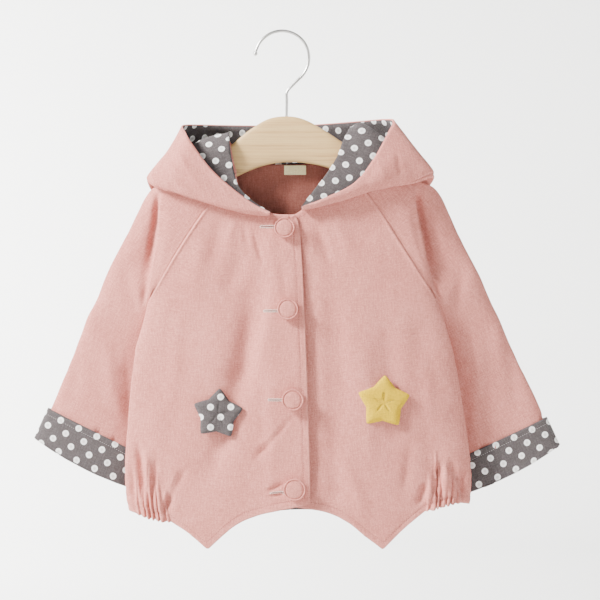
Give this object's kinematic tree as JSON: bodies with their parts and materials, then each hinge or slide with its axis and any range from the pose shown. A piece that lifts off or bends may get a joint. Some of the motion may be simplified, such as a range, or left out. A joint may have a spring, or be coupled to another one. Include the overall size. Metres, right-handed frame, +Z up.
{
  "type": "hooded child's windbreaker on a wooden hanger",
  "caption": "Child's hooded windbreaker with raglan sleeves, dotted turned-back cuffs and hood lining, covered buttons and padded stars, buttoned up on a wooden hanger.",
  "frame": {"origin": "top of the inside of the hanger's hook, where it rests on a rail", "axes": "+X to the viewer's right, which is the wearer's left, -Y the way the front faces, +Z up"},
  "size_m": [0.58, 0.0966, 0.5649],
  "materials": {
    "shell_cloth": "dusty pink plain-woven cotton, matt",
    "dotted_cloth": "warm grey cotton with white dots, matt",
    "yellow_cloth": "yellow cotton, padded",
    "label_tape": "cream woven tape, bare",
    "beech": "pale beech, satin",
    "hook_steel": "bright steel wire"
  },
  "bodies": {
    "root": {"front_right": "shell_cloth", "front_left": "shell_cloth", "back": "shell_cloth", "sleeve_front_right": "shell_cloth", "sleeve_back_right": "shell_cloth", "sleeve_front_left": "shell_cloth", "sleeve_back_left": "shell_cloth", "hood_shell_right": "shell_cloth", "hood_shell_left": "shell_cloth", "button_1": "shell_cloth", "button_2": "shell_cloth", "button_3": "shell_cloth", "button_4": "shell_cloth", "cuff_right": "dotted_cloth", "cuff_left": "dotted_cloth", "hood_lining_right": "dotted_cloth", "hood_lining_left": "dotted_cloth", "hem_facing_back": "dotted_cloth", "star_grey": "dotted_cloth", "star_yellow": "yellow_cloth", "neck_label": "label_tape", "hanger_wood": "beech", "hanger_hook": "hook_steel"}
  },
  "joints": []
}
